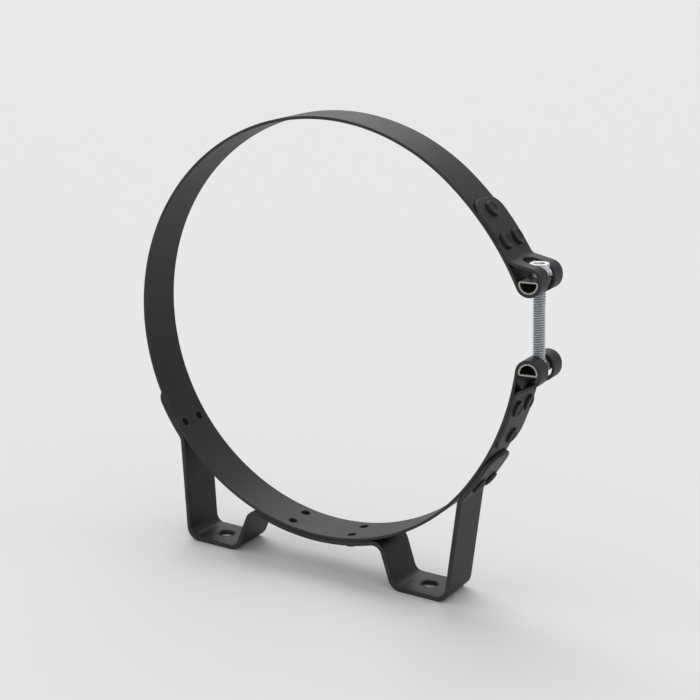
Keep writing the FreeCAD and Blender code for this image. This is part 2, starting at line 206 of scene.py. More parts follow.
def bentSheet(name, pieces, thick, outline, holes, edgeRadius, stations, rows):
    # a sheet with its edges rounded over, bent along the path, as one closed mesh
    starts, total = startsOf(pieces)
    half = thick / 2
    rim = [(edgeRadius * 1.7, half, 0.0), (edgeRadius, half, 0.35)]
    arcSteps = 4
    for k in range(1, arcSteps + 1):
        turn = math.pi / 2 * k / arcSteps
        rim.append((edgeRadius * (1 - math.sin(turn)), half - edgeRadius * (1 - math.cos(turn)), 1.0))
    rim += [(away, -t, wear) for away, t, wear in reversed(rim)]
    loops = [outline] + holes
    coords, wearValues, faces = [], [], []
    firstRing, lastRing = [], []
    for loop in loops:
        rings = []
        for away, t, wear in rim:
            ring = []
            for x, y in inset(loop, away):
                ring.append(len(coords))
                coords.append((x, y, t))
                wearValues.append(wear)
            rings.append(ring)
        count = len(loop)
        for a, b in zip(rings, rings[1:]):
            for i in range(count):
                j = (i + 1) % count
                faces.append((a[j], a[i], b[i], b[j]))
        firstRing.append(rings[0])
        lastRing.append(rings[-1])
    flat, owner, edges = [], [], []
    for ring in firstRing:
        base = len(flat)
        for k, index in enumerate(ring):
            flat.append(Vector((coords[index][0], coords[index][1])))
            owner.append(index)
            edges.append((base + k, base + (k + 1) % len(ring)))
    shadowOwner = [index for ring in lastRing for index in ring]
    margin = edgeRadius * 1.7 + 0.35
    border = np.array(outline)
    cuts = [np.array(loop) for loop in holes]
    for s in stations:
        near = [loop for loop in cuts if loop[:, 0].min() - margin < s < loop[:, 0].max() + margin]
        for y in rows:
            if not insideLoop(border, s, y) or distanceToLoop(border, s, y) < margin:
                continue
            if any(insideLoop(loop, s, y) or distanceToLoop(loop, s, y) < margin for loop in near):
                continue
            flat.append(Vector((s, y)))
            for side, group in ((half, owner), (-half, shadowOwner)):
                group.append(len(coords))
                coords.append((s, y, side))
                wearValues.append(0.0)
    points, madeEdges, tris, fromPoint, fromEdge, fromFace = geometry.delaunay_2d_cdt(flat, edges, [], 1, 1e-5)
    for tri in tris:
        cx = sum(points[i][0] for i in tri) / 3
        cy = sum(points[i][1] for i in tri) / 3
        if any(loop[:, 0].min() < cx < loop[:, 0].max() and insideLoop(loop, cx, cy) for loop in cuts):
            continue
        a, b, c = [points[i] for i in tri]
        if (b[0] - a[0]) * (c[1] - a[1]) - (b[1] - a[1]) * (c[0] - a[0]) < 0:
            tri = tri[::-1]
        source = [fromPoint[i][0] for i in tri]
        faces.append(tuple(owner[i] for i in source))
        faces.append(tuple(shadowOwner[i] for i in reversed(source)))
    places = []
    for s, y, t in coords:
        (x, z), (nx, nz) = onPath(pieces, starts, min(max(s, 0.0), total))
        places.append((ringCentre.x + (x + nx * t) * mm, y * mm, ringCentre.z + (z + nz * t) * mm))
    mesh = bpy.data.meshes.new(name)
    mesh.from_pydata(places, [], faces)
    mesh.update()
    wearLayer = mesh.attributes.new("edgeWear", "FLOAT", "POINT")
    wearLayer.data.foreach_set("value", wearValues)
    mesh.shade_smooth()
    piece = bpy.data.objects.new(name, mesh)
    bpy.context.scene.collection.objects.link(piece)
    return piece


# nodes

def linearColour(code):
    values = [int(code[i:i + 2], 16) / 255 for i in (1, 3, 5)]
    return tuple([v / 12.92 if v <= 0.04045 else ((v + 0.055) / 1.055) ** 2.4 for v in values] + [1.0])


def addNode(tree, kind, settings=None, links=None, **fields):
    # settings fill inputs by name or number, links join them, fields set the node's own options
    node = tree.nodes.new(kind)
    for key, value in fields.items():
        setattr(node, key, value)
    for key, value in (settings or {}).items():
        node.inputs[key].default_value = value
    for key, output in (links or {}).items():
        tree.links.new(output, node.inputs[key])
    return node


def newMaterial(name):
    material = bpy.data.materials.new(name)
    material.use_nodes = True
    tree = material.node_tree
    tree.nodes.clear()
    out = addNode(tree, "ShaderNodeOutputMaterial")
    shader = addNode(tree, "ShaderNodeBsdfPrincipled")
    tree.links.new(shader.outputs["BSDF"], out.inputs["Surface"])
    place = addNode(tree, "ShaderNodeTexCoord").outputs["Object"]
    return material, tree, shader, place


def ramp(tree, source, stops):
    node = addNode(tree, "ShaderNodeValToRGB", links={"Fac": source})
    while len(node.color_ramp.elements) < len(stops):
        node.color_ramp.elements.new(0.5)
    for element, (at, colour) in zip(node.color_ramp.elements, stops):
        element.position = at
        element.color = colour
    return node.outputs["Color"]


coatSpec = {
    # the rubbed colour on the edges is coat wear and a painted highlight together
    "dark": "#19191d", "light": "#212126", "rubbed": "#48484b",
    "cloudSize": 22.0,       # mm, slow change of tone in the coat
    "peelSize": 0.9,         # mm, orange peel, drawn about twice as coarse as it is
    "dustSize": 0.35,        # mm
    "roughLow": 0.42, "roughHigh": 0.55, "specular": 0.25, "peelDepth": 0.000012,
}


def makeCoat(name, spec):
    # electro-coated steel: an even satin black, faintly cloudy, thinner and greyer over the sheared edges, and lighter
    # there still as a painted highlight on the edges
    material, tree, shader, place = newMaterial(name)
    cloud = addNode(tree, "ShaderNodeTexNoise", {"Scale": 1000 / spec["cloudSize"], "Detail": 3.0, "Roughness": 0.55},
                    {"Vector": place})
    peel = addNode(tree, "ShaderNodeTexNoise", {"Scale": 1000 / spec["peelSize"], "Detail": 2.0, "Roughness": 0.5},
                   {"Vector": place})
    dust = addNode(tree, "ShaderNodeTexNoise", {"Scale": 1000 / spec["dustSize"], "Detail": 1.0}, {"Vector": place})
    tone = ramp(tree, cloud.outputs["Fac"], [(0.3, linearColour(spec["dark"])), (0.7, linearColour(spec["light"]))])
    edge = addNode(tree, "ShaderNodeAttribute", attribute_name="edgeWear")
    # edge lightening: worn coat on the edges, raised further as a painted highlight
    rubAndLitEdge = addNode(tree, "ShaderNodeMath", {1: 0.9}, {0: edge.outputs["Fac"]}, operation="MULTIPLY")
    patchy = addNode(tree, "ShaderNodeMath", links={0: rubAndLitEdge.outputs[0], 1: cloud.outputs["Fac"]}, operation="MULTIPLY")
    colour = addNode(tree, "ShaderNodeMix", {"B": linearColour(spec["rubbed"])},
                     {"Factor": patchy.outputs[0], "A": tone}, data_type="RGBA")
    tree.links.new(colour.outputs["Result"], shader.inputs["Base Color"])
    rough = addNode(tree, "ShaderNodeMapRange", {"To Min": spec["roughLow"], "To Max": spec["roughHigh"]},
                    {"Value": cloud.outputs["Fac"]})
    tree.links.new(rough.outputs["Result"], shader.inputs["Roughness"])
    both = addNode(tree, "ShaderNodeMath", {1: 0.3}, {0: dust.outputs["Fac"], 2: peel.outputs["Fac"]},
                   operation="MULTIPLY_ADD")
    bump = addNode(tree, "ShaderNodeBump", {"Strength": 1.0, "Distance": spec["peelDepth"]},
                   {"Height": both.outputs[0]})
    tree.links.new(bump.outputs["Normal"], shader.inputs["Normal"])
    shader.inputs["IOR"].default_value = 1.5
    shader.inputs["Specular IOR Level"].default_value = spec["specular"]
    return material


# root is the colour of painted shade in the thread roots, with a little oil
zincSpec = {"bright": "#dfe2e5", "dull": "#c6cacd", "root": "#8e9296", "spangleSize": 2.4, "grainSize": 0.5,
            "roughLow": 0.34, "roughHigh": 0.44, "grainDepth": 0.000002}
tubeSpec = {"skin": "#8a8880", "stain": "#6d6a62", "cut": "#a9a79e", "stainSize": 5.0, "sawSize": 0.35,
            "roughLow": 0.3, "roughHigh": 0.5, "sawDepth": 0.000012}


def makeZinc(name, spec):
    # bright zinc plate: a cool light metal with a faint bloom and a fine grain
    material, tree, shader, place = newMaterial(name)
    bloom = addNode(tree, "ShaderNodeTexNoise", {"Scale": 1000 / spec["spangleSize"], "Detail": 4.0}, {"Vector": place})
    grain = addNode(tree, "ShaderNodeTexNoise", {"Scale": 1000 / spec["grainSize"], "Detail": 1.0}, {"Vector": place})
    tone = ramp(tree, bloom.outputs["Fac"], [(0.35, linearColour(spec["dull"])), (0.65, linearColour(spec["bright"]))])
    # the bottom of a thread is darkened as painted shade, with a little oil
    root = addNode(tree, "ShaderNodeAttribute", attribute_name="threadDepth")
    deep = addNode(tree, "ShaderNodeMapRange", {"From Min": 0.25, "From Max": 1.0}, {"Value": root.outputs["Fac"]})
    shadedRoots = addNode(tree, "ShaderNodeMix", {"B": linearColour(spec["root"])}, {"Factor": deep.outputs["Result"], "A": tone},
                    data_type="RGBA")
    tree.links.new(shadedRoots.outputs["Result"], shader.inputs["Base Color"])
    rough = addNode(tree, "ShaderNodeMapRange", {"To Min": spec["roughLow"], "To Max": spec["roughHigh"]},
                    {"Value": bloom.outputs["Fac"]})
    tree.links.new(rough.outputs["Result"], shader.inputs["Roughness"])
    bump = addNode(tree, "ShaderNodeBump", {"Strength": 1.0, "Distance": spec["grainDepth"]},
                   {"Height": grain.outputs["Fac"]})
    tree.links.new(bump.outputs["Normal"], shader.inputs["Normal"])
    shader.inputs["Metallic"].default_value = 1.0
    return material


def makeTubeSteel(name, spec):
    # rolled tube in mill finish: brownish grey skin, and sawn ends left bare and brighter
    material, tree, shader, place = newMaterial(name)
    stain = addNode(tree, "ShaderNodeTexNoise", {"Scale": 1000 / spec["stainSize"], "Detail": 4.0}, {"Vector": place})
    saw = addNode(tree, "ShaderNodeTexNoise", {"Scale": 1000 / spec["sawSize"], "Detail": 2.0}, {"Vector": place})
    tone = ramp(tree, stain.outputs["Fac"], [(0.35, linearColour(spec["stain"])), (0.65, linearColour(spec["skin"]))])
    edge = addNode(tree, "ShaderNodeAttribute", attribute_name="edgeWear")
    colour = addNode(tree, "ShaderNodeMix", {"B": linearColour(spec["cut"])}, {"Factor": edge.outputs["Fac"], "A": tone},
                     data_type="RGBA")
    tree.links.new(colour.outputs["Result"], shader.inputs["Base Color"])
    rough = addNode(tree, "ShaderNodeMapRange", {"To Min": spec["roughLow"], "To Max": spec["roughHigh"]},
                    {"Value": saw.outputs["Fac"]})
    tree.links.new(rough.outputs["Result"], shader.inputs["Roughness"])
    bump = addNode(tree, "ShaderNodeBump", {"Strength": 1.0, "Distance": spec["sawDepth"]}, {"Height": saw.outputs["Fac"]})
    tree.links.new(bump.outputs["Normal"], shader.inputs["Normal"])
    shader.inputs["Metallic"].default_value = 1.0
    return material


bandCoat = makeCoat("satinBlackCoat", coatSpec)
bracketCoat = makeCoat("satinBlackCoatHeavy", dict(coatSpec, dark="#161618", light="#1d1d20", cloudSize=30.0))
zincPlate = makeZinc("brightZincPlate", zincSpec)
tubeSteel = makeTubeSteel("millFinishTube", tubeSpec)
print("materials made")


# band: one strip, its ring, its two loops and the laps that come back over it

bandSpec = {
    "width": 32.0, "thick": 1.9, "layerGap": 0.08, "edgeRadius": 0.5,
    "upperArmAngle": 52.0, "lowerArmAngle": -85.0, "lowerArmTurn": 48.9, "lowerArmRadius": 124.0,
    "loopInside": 6.3, "loopStretch": 1.15, "upperLapSlope": 10.0, "lowerLapSlope": 29.7,
    "lapBendRadius": 5.5, "upperLapLength": 39.0, "lowerLapLength": 37.5, "lapCorner": 9.5,
    "slotWidth": 8.6, "headSlotWidth": 13.8, "headSlotBack": 5.9, "pitRadius": 2.8,
    "tipToClinch": 8.3, "clinchStep": 20.7, "clinchSpacing": 8.0, "saddleClinchAngle": 9.5,
}
halfBand = bandSpec["thick"] / 2
ringLine = ringRadius + halfBand
loopLine = bandSpec["loopInside"] + halfBand


def bandHalf(spec, moves, pivot, side, lapSlope, lapLength):
    # one half of the strip, from the left of the ring to its lap's tip; side is 1 where it runs anticlockwise
    path = follow((-ringLine, 0.0), 180 + 90 * side, moves)
    here, heading = pathEnd(path)
    nx, nz = unit(heading + 90 * side)
    vx, vz = pivot[0] - here[0], pivot[1] - here[1]
    armRadius = (vx * vx + vz * vz - loopLine ** 2) / (2 * (loopLine + vx * nx + vz * nz))
    centre = (here[0] + nx * armRadius, here[1] + nz * armRadius)
    leave = angleOf(here[0] - centre[0], here[1] - centre[1])
    touch = angleOf(pivot[0] - centre[0], pivot[1] - centre[1])
    armIndex = len(path)
    path += follow(here, heading, [(armRadius, (touch - leave + 180) % 360 - 180)])
    here, heading = pathEnd(path)
    wrap = (-90 * side - heading) * -side % 360 * -side
    path += follow(here, heading, [(loopLine, wrap), spec["loopStretch"], (loopLine, -side * (90 - lapSlope))])
    here, heading = pathEnd(path)
    lapRadius = armRadius + spec["thick"] + spec["layerGap"]
    bend = spec["lapBendRadius"]
    hx, hz = unit(heading)
    bx, bz = unit(heading + 90 * side)
    px, pz = here[0] + bx * bend - centre[0], here[1] + bz * bend - centre[1]
    along = px * hx + pz * hz
    length = -along - math.sqrt(along ** 2 - (px * px + pz * pz) + (lapRadius + bend) ** 2)
    bendAngle = angleOf(px + hx * length, pz + hz * length)
    turn = (bendAngle - 90 * side - heading + 180) % 360 - 180
    back = -side * math.degrees(lapLength / lapRadius)
    path += follow(here, heading, [length, (bend, turn), (lapRadius, back)])
    starts, total = startsOf(path)
    return {"path": path, "starts": starts, "total": total, "centre": centre, "armRadius": armRadius,
            "lapRadius": lapRadius, "leave": leave, "armStart": starts[armIndex], "loopIndex": armIndex + 1,
            "tipAngle": bendAngle + back, "side": side, "pivot": pivot}


upperHalf = bandHalf(bandSpec, [(ringLine, bandSpec["upperArmAngle"] - 180)], upperPivot, -1,
                     bandSpec["upperLapSlope"], bandSpec["upperLapLength"])
lowerHalf = bandHalf(bandSpec, [(ringLine, bandSpec["lowerArmAngle"] + 180),
                                (bandSpec["lowerArmRadius"], bandSpec["lowerArmTurn"])],
                     lowerPivot, 1, bandSpec["lowerLapSlope"], bandSpec["lowerLapLength"])
bandPath = turnedBack(lowerHalf["path"]) + upperHalf["path"]
bandStarts, bandTotal = startsOf(bandPath)


def onBand(half, s):
    # a distance along one half, as a distance along the whole strip
    return lowerHalf["total"] + (s if half is upperHalf else -s)


def armDistance(half, angle):
    return half["armStart"] + math.radians(abs((angle - half["leave"] + 180) % 360 - 180)) * half["armRadius"]


def roundHole(s, y, radius, count=32):
    return arcPoints(s, y, radius, 360, 360 / count, count - 1)


def slotLoop(first, last, widthAt, stations):
    # clockwise, so that the metal lies on its left; both ends are half circles
    middle = [s for s in stations if first < s < last]
    low, high = widthAt(first), widthAt(last)
    loop = arcPoints(first, 0, low, 270, 90, 14)
    loop += [(s, widthAt(s)) for s in middle]
    loop += arcPoints(last, 0, high, 90, -90, 14)
    loop += [(s, -widthAt(s)) for s in reversed(middle)]
    return loop


bandStations = stationsOf(bandPath, 4.0, 3.2, 0.8)


def screwCrossing(half):
    # where the screw's axis goes through the loop, towards the other trunnion
    loop = half["path"][half["loopIndex"]]
    side = 1 if loop["turn"] > 0 else -1
    towards = angleOf(lowerPivot[0] - upperPivot[0], lowerPivot[1] - upperPivot[1]) + (180 if half is lowerHalf else 0)
    turned = (towards - (loop["heading"] - 90 * side)) * side % 360
    return half["starts"][half["loopIndex"]] + math.radians(turned) * loop["radius"]


def upperSlotWidth(s):
    # narrow round the loop, and wide over the lap where the screw's head stands
    narrow, wide = bandSpec["slotWidth"] / 2, bandSpec["headSlotWidth"] / 2
    if s < onBand(upperHalf, upperHalf["starts"][upperHalf["loopIndex"] + 1]):
        return narrow
    (x, z), normal = onPath(bandPath, bandStarts, s)
    axis = (-screwAxis.x, -screwAxis.z)
    across = (x - upperPivot[0]) * axis[1] - (z - upperPivot[1]) * axis[0]
    if across <= 0:
        return wide
    return max(narrow, math.sqrt(max(0.0, wide ** 2 - across ** 2)))


def clinchSpots(half):
    # the three clinches of a lap: its angle, its distance from the tip, and its place across the strip
    spots = []
    for distance, rows in ((bandSpec["tipToClinch"], (0,)), (bandSpec["tipToClinch"] + bandSpec["clinchStep"], (-1, 1))):
        angle = half["tipAngle"] + half["side"] * math.degrees(distance / half["lapRadius"])
        spots += [(angle, distance, row * bandSpec["clinchSpacing"]) for row in rows]
    return spots


bracketSpec = {
    "thick": 3.1, "edgeRadius": 0.7, "bendRadius": 6.0, "saddleBendRadius": 6.1,
    "leftSaddle": 18.2, "rightSaddle": 16.7, "innerHeading": -70.3, "outerHeading": 84.8,
    "footFlat": 24.9, "leftTab": 32.4, "rightTab": 31.8, "tabCorner": 8.0,
    "leftTabClinch": 25.8, "rightTabClinch": 21.5,
}
bracketStep = halfBand + bandSpec["layerGap"] + bracketSpec["thick"] / 2
bracketLine = ringLine + bracketStep


def bracketHalf(spec, saddle, tab, tabClinch, centre, armLine):
    # half of the bracket towards +X, from under the ring to the tab's tip
    tabLine = armLine + bracketStep
    bend = spec["bendRadius"] + spec["thick"] / 2
    firstBend = spec["saddleBendRadius"] + spec["thick"] / 2
    start = (0.0, -bracketLine)
    moves = [(bracketLine, saddle), (firstBend, spec["innerHeading"] - saddle)]
    here, heading = pathEnd(follow(start, 0.0, moves))
    floorLine = -ringCentre.z / mm + spec["thick"] / 2
    drop = here[1] - floorLine - bend * (1 - unit(heading)[0])
    moves += [drop / -unit(heading)[1], (bend, -spec["innerHeading"]), spec["footFlat"], (bend, spec["outerHeading"])]
    here, heading = pathEnd(follow(start, 0.0, moves))
    hx, hz = unit(heading)
    rx, rz = unit(heading - 90)
    px, pz = here[0] + rx * bend - centre[0], here[1] + rz * bend - centre[1]
    along = px * hx + pz * hz
    length = -along - math.sqrt(along ** 2 - (px * px + pz * pz) + (tabLine + bend) ** 2)
    topAngle = angleOf(px + hx * length, pz + hz * length)
    moves += [length, (bend, topAngle + 90 - heading), (tabLine, math.degrees(tab / tabLine))]
    path = follow(start, 0.0, moves)
    tip = pathEnd(path)[0]
    angle = angleOf(tip[0] - centre[0], tip[1] - centre[1]) - math.degrees(tabClinch / tabLine)
    starts, total = startsOf(path)
    return {"path": path, "starts": starts, "total": total, "tabClinch": total - tabClinch, "centre": centre,
            "clinchAngle": angle, "armLine": armLine}


rightFoot = bracketHalf(bracketSpec, bracketSpec["rightSaddle"], bracketSpec["rightTab"], bracketSpec["rightTabClinch"],
                        lowerHalf["centre"], lowerHalf["armRadius"])
leftFoot = bracketHalf(bracketSpec, bracketSpec["leftSaddle"], bracketSpec["leftTab"], bracketSpec["leftTabClinch"],
                       (0.0, 0.0), ringLine)
bracketPath = turnedBack(mirrored(leftFoot["path"])) + rightFoot["path"]
bracketStarts, bracketTotal = startsOf(bracketPath)
leftTotal = leftFoot["total"]

# every clinch: the point on the band's inner face, its outward axis, its row, and what it joins
clinches = {"clinchUpper": [], "clinchLower": [], "clinchBracket": []}
bandHoles, bracketHoles = [], []


def addClinch(group, centre, line, angle, y):
    dx, dz = unit(angle)
    inner = line - halfBand
    clinches[group].append((Vector((ringCentre.x + (centre[0] + dx * inner) * mm, y * mm,
                                    ringCentre.z + (centre[1] + dz * inner) * mm)), Vector((dx, 0, dz))))


for half, group in ((upperHalf, "clinchUpper"), (lowerHalf, "clinchLower")):
    for angle, distance, y in clinchSpots(half):
        bandHoles.append(roundHole(onBand(half, armDistance(half, angle)), y, bandSpec["pitRadius"]))
        bandHoles.append(roundHole(onBand(half, half["total"] - distance), y, bandSpec["pitRadius"] + 0.4))
        addClinch(group, half["centre"], half["armRadius"], angle, y)
for y in (-bandSpec["clinchSpacing"], bandSpec["clinchSpacing"]):
    for angle in (-90 - bandSpec["saddleClinchAngle"], -90 + bandSpec["saddleClinchAngle"]):
        along = math.radians(angle + 180) * ringLine
        bandHoles.append(roundHole(onBand(lowerHalf, along), y, bandSpec["pitRadius"]))
        under = math.radians(angle + 90) * bracketLine
        bracketHoles.append(roundHole(leftTotal + under, y, bandSpec["pitRadius"] + 0.4))
        addClinch("clinchBracket", (0.0, 0.0), ringLine, angle, y)
    angle = rightFoot["clinchAngle"]
    bandHoles.append(roundHole(onBand(lowerHalf, armDistance(lowerHalf, angle)), y, bandSpec["pitRadius"]))
    bracketHoles.append(roundHole(leftTotal + rightFoot["tabClinch"], y, bandSpec["pitRadius"] + 0.4))
    addClinch("clinchBracket", rightFoot["centre"], rightFoot["armLine"], angle, y)
    angle = -180 - leftFoot["clinchAngle"]
    bandHoles.append(roundHole(onBand(lowerHalf, math.radians(angle + 180) * ringLine), y, bandSpec["pitRadius"]))
    bracketHoles.append(roundHole(leftTotal - leftFoot["tabClinch"], y, bandSpec["pitRadius"] + 0.4))
    addClinch("clinchBracket", (0.0, 0.0), ringLine, angle, y)

upperBend = onBand(upperHalf, upperHalf["starts"][upperHalf["loopIndex"] + 4]) - bandSpec["headSlotBack"]
lowerBend = onBand(lowerHalf, lowerHalf["starts"][lowerHalf["loopIndex"] + 4])
bandHoles.append(slotLoop(onBand(upperHalf, screwCrossing(upperHalf)), upperBend, upperSlotWidth, bandStations))
bandHoles.append(slotLoop(lowerBend, onBand(lowerHalf, screwCrossing(lowerHalf)),
                          lambda s: bandSpec["slotWidth"] / 2, bandStations))


def blank(total, halfWidth, corner, stations):
    # outline of a flat strip with four rounded corners, anticlockwise
    edge = [s for s in stations if corner < s < total - corner]
    loop = [(s, -halfWidth) for s in edge]
    loop += arcPoints(total - corner, -halfWidth + corner, corner, -90, 0, 12)
    loop += arcPoints(total - corner, halfWidth - corner, corner, 0, 90, 12)
    loop += [(s, halfWidth) for s in reversed(edge)]
    loop += arcPoints(corner, halfWidth - corner, corner, 90, 180, 12)
    loop += arcPoints(corner, -halfWidth + corner, corner, 180, 270, 12)
    return loop


rowsAcross = [-13.5, -10.5, -7.0, -3.5, 0.0, 3.5, 7.0, 10.5, 13.5]
band = bentSheet("band", bandPath, bandSpec["thick"],
                 blank(bandTotal, bandSpec["width"] / 2, bandSpec["lapCorner"], bandStations),
                 bandHoles, bandSpec["edgeRadius"], bandStations, rowsAcross)
band.data.materials.append(bandCoat)
print("band made:", len(band.data.polygons), "faces")


# foot bracket: a thicker strip bent down to two feet

bracketStations = stationsOf(bracketPath, 6.0, 3.2, 3.0)
holeSpacing = mounts["foot_bolts"]["dims"]["spacing_x_mm"] / 2
holeRadius = mounts["foot_bolts"]["dims"]["hole_r_mm"]
for foot, sign in ((leftFoot, -1), (rightFoot, 1)):
    flat = foot["path"][4]
    offset = holeSpacing - sign * ringCentre.x / mm - flat["from"][0]
    bracketHoles.append(roundHole(leftTotal + sign * (foot["starts"][4] + offset), 0, holeRadius, 56))
bracket = bentSheet("footBracket", bracketPath, bracketSpec["thick"],
                    blank(bracketTotal, bandSpec["width"] / 2, bracketSpec["tabCorner"], bracketStations),
                    bracketHoles, bracketSpec["edgeRadius"], bracketStations, rowsAcross)
bracket.data.materials.append(bracketCoat)
print("bracket made:", len(bracket.data.polygons), "faces")


# trunnions: D tubes rolled from sheet, with the seam in the middle of the round side

tubeShape = {"radius": 6.2, "flat": 1.5, "wall": 1.1, "corner": 1.6, "seam": 0.3, "edgeRadius": 0.22,
             "screwHole": 4.5, "insertHole": 4.82}


def makeTube(name, spec, pivot, flatAngle, flatHole):
    middle = spec["wall"] / 2
    big, small = spec["radius"] - middle, spec["corner"] - middle
    reach = spec["radius"] - spec["corner"]
    low = spec["flat"] - spec["corner"]
    halfFlat = math.sqrt(reach ** 2 - low ** 2)
    tilt = math.degrees(math.atan2(low, halfFlat))
    seamTurn = math.degrees(spec["seam"] / 2 / big)
    turned = flatAngle - 90
    sx, sz = unit(turned - 90 + seamTurn)
    path = follow((pivot[0] + sx * big, pivot[1] + sz * big), turned + seamTurn,
                  [(big, 90 + tilt - seamTurn), (small, 90 - tilt), 2 * halfFlat, (small, 90 - tilt),
                   (big, 90 + tilt - seamTurn)])
    stations = stationsOf(path, 6.0, 1.0, 1.0)
    starts, total = startsOf(path)
    half = bandSpec["width"] / 2
    hole = spec["screwHole"]
    edge = [s for s in stations if 0 < s < total]
    wide = [s for s in edge if s > 0.5 and s < total - 0.5]
    loop = [(0.0, -half)] + [(s, -half) for s in wide] + [(total, -half)]
    loop += [(total, -half + (half - hole) * k / 6) for k in range(1, 6)]
    loop += arcPoints(total, 0, hole, 270, 90, 16)
    loop += [(total, hole + (half - hole) * k / 6) for k in range(1, 6)]
    loop += [(total, half)] + [(s, half) for s in reversed(wide)] + [(0.0, half)]
    loop += [(0.0, half - (half - hole) * k / 6) for k in range(1, 6)]
    loop += arcPoints(0, 0, hole, 90, -90, 16)
    loop += [(0.0, -hole - (half - hole) * k / 6) for k in range(1, 6)]
    holes = [roundHole(total / 2, 0, flatHole, 48)]
    tube = bentSheet(name, path, spec["wall"], loop, holes, spec["edgeRadius"], stations,
                     [-15, -12, -9, -6, -3, 0, 3, 6, 9, 12, 15])
    tube.data.materials.append(tubeSteel)
    return tube


up = angleOf(upperPivot[0] - lowerPivot[0], upperPivot[1] - lowerPivot[1])
upperTube = makeTube("upperTrunnion", tubeShape, upperPivot, up, tubeShape["screwHole"])
lowerTube = makeTube("lowerTrunnion", tubeShape, lowerPivot, up + 180, tubeShape["insertHole"])
print("trunnions made")


# clinch buttons: a thin skin pushed out through both layers, with a dished crown
clinchSpec = {
    "skirt": 5.3, "crest": 3.9, "crestHeight": 1.7, "dish": 2.9, "dishHeight": 1.15, "edge": 0.6,
    "pit": 2.82, "lapPitDepth": 4.3, "bracketPitDepth": 2.8, "sunk": 0.9, "sides": 40,
}


def lathe(name, profile, sides):
    # a closed skin turned about Z from points of radius and height in mm
    build = bmesh.new()
    rings = []
    for radius, height in profile:
        if radius == 0:
            rings.append([build.verts.new((0, 0, height * mm))])
        else:
            rings.append([build.verts.new((radius * unit(360 * k / sides)[0] * mm, radius * unit(360 * k / sides)[1] * mm,
                                           height * mm)) for k in range(sides)])
    for low, high in zip(rings, rings[1:]):
        for k in range(sides):
            n = (k + 1) % sides
            corners = [low[k % len(low)], low[n % len(low)], high[n % len(high)], high[k % len(high)]]
            build.faces.new(list(dict.fromkeys(corners)))
    mesh = bpy.data.meshes.new(name)
    build.to_mesh(mesh)
    build.free()
    mesh.shade_smooth()
    return bpy.data.objects.new(name, mesh)


def buttonProfile(spec, stack, pitDepth):
    # from the pit's floor, down its wall, out into the layers, and up over the crown
    crown = [(spec["skirt"], 0.0), (spec["skirt"] - 0.14, spec["crestHeight"] * 0.35)]
    crown += [(spec["skirt"] - 0.34, spec["crestHeight"] - spec["edge"])]
    for k in range(1, 5):
        dx, dz = unit(90 * k / 4)
        crown.append((spec["skirt"] - 0.34 - spec["edge"] * 1.3 * (1 - dx), spec["crestHeight"] - spec["edge"] * (1 - dz)))
    crown += [(spec["crest"], spec["crestHeight"]), (spec["crest"] - 0.25, spec["crestHeight"] - 0.05)]
    crown += [(spec["dish"] + 0.25, spec["dishHeight"] + 0.08), (spec["dish"], spec["dishHeight"])]
    crown += [(spec["dish"] * 0.5, spec["dishHeight"] - 0.03), (0, spec["dishHeight"] - 0.04)]
    inside = [(0, pitDepth), (spec["pit"] - 0.35, pitDepth), (spec["pit"] - 0.08, pitDepth - 0.1),
              (spec["pit"], pitDepth - 0.4), (spec["pit"], spec["sunk"]), (3.6, spec["sunk"]), (3.6, stack - 0.4)]
    return inside + [(radius, stack + height) for radius, height in crown]


def setInput(modifier, tree, name, value):
    for item in tree.interface.items_tree:
        if item.item_type == "SOCKET" and item.in_out == "INPUT" and item.name == name:
            modifier[item.identifier] = value


def newTree(name, inputs):
    tree = bpy.data.node_groups.new(name, "GeometryNodeTree")
    tree.interface.new_socket("Geometry", in_out="INPUT", socket_type="NodeSocketGeometry")
    tree.interface.new_socket("Geometry", in_out="OUTPUT", socket_type="NodeSocketGeometry")
    for label, kind in inputs:
        tree.interface.new_socket(label, in_out="INPUT", socket_type=kind)
    return tree, addNode(tree, "NodeGroupInput"), addNode(tree, "NodeGroupOutput")


def bake(name, source, tree, values):
    # run the tree on a source mesh and keep its result as a plain mesh object
    bpy.context.scene.collection.objects.link(source)
    modifier = source.modifiers.new("nodes", "NODES")
    modifier.node_group = tree
    for label, value in values.items():
        setInput(modifier, tree, label, value)
    bpy.context.view_layer.update()
    depsgraph = bpy.context.evaluated_depsgraph_get()
    mesh = bpy.data.meshes.new_from_object(source.evaluated_get(depsgraph), preserve_all_data_layers=True,
                                           depsgraph=depsgraph)
    mesh.name = name
    source.modifiers.remove(modifier)
    bpy.data.objects.remove(source)
    result = bpy.data.objects.new(name, mesh)
    bpy.context.scene.collection.objects.link(result)
    return result


clinchTree, given, result = newTree("clinchesOnSpots", [("Button", "NodeSocketObject"), ("Size", "NodeSocketFloat"),
                                                       ("Coat", "NodeSocketMaterial")])
axisField = addNode(clinchTree, "GeometryNodeInputNamedAttribute", {"Name": "axis"}, data_type="FLOAT_VECTOR")
aim = addNode(clinchTree, "FunctionNodeAlignRotationToVector", links={"Vector": axisField.outputs["Attribute"]}, axis="Z")
shape = addNode(clinchTree, "GeometryNodeObjectInfo", links={"Object": given.outputs["Button"]})
spots = addNode(clinchTree, "GeometryNodeMeshToPoints", links={"Mesh": given.outputs["Geometry"]})
copies = addNode(clinchTree, "GeometryNodeInstanceOnPoints", links={
    "Points": spots.outputs["Points"], "Instance": shape.outputs["Geometry"], "Rotation": aim.outputs["Rotation"],
    "Scale": given.outputs["Size"]})
real = addNode(clinchTree, "GeometryNodeRealizeInstances", links={"Geometry": copies.outputs["Instances"]})
coated = addNode(clinchTree, "GeometryNodeSetMaterial", links={"Geometry": real.outputs["Geometry"],
                                                               "Material": given.outputs["Coat"]})
clinchTree.links.new(coated.outputs["Geometry"], result.inputs["Geometry"])

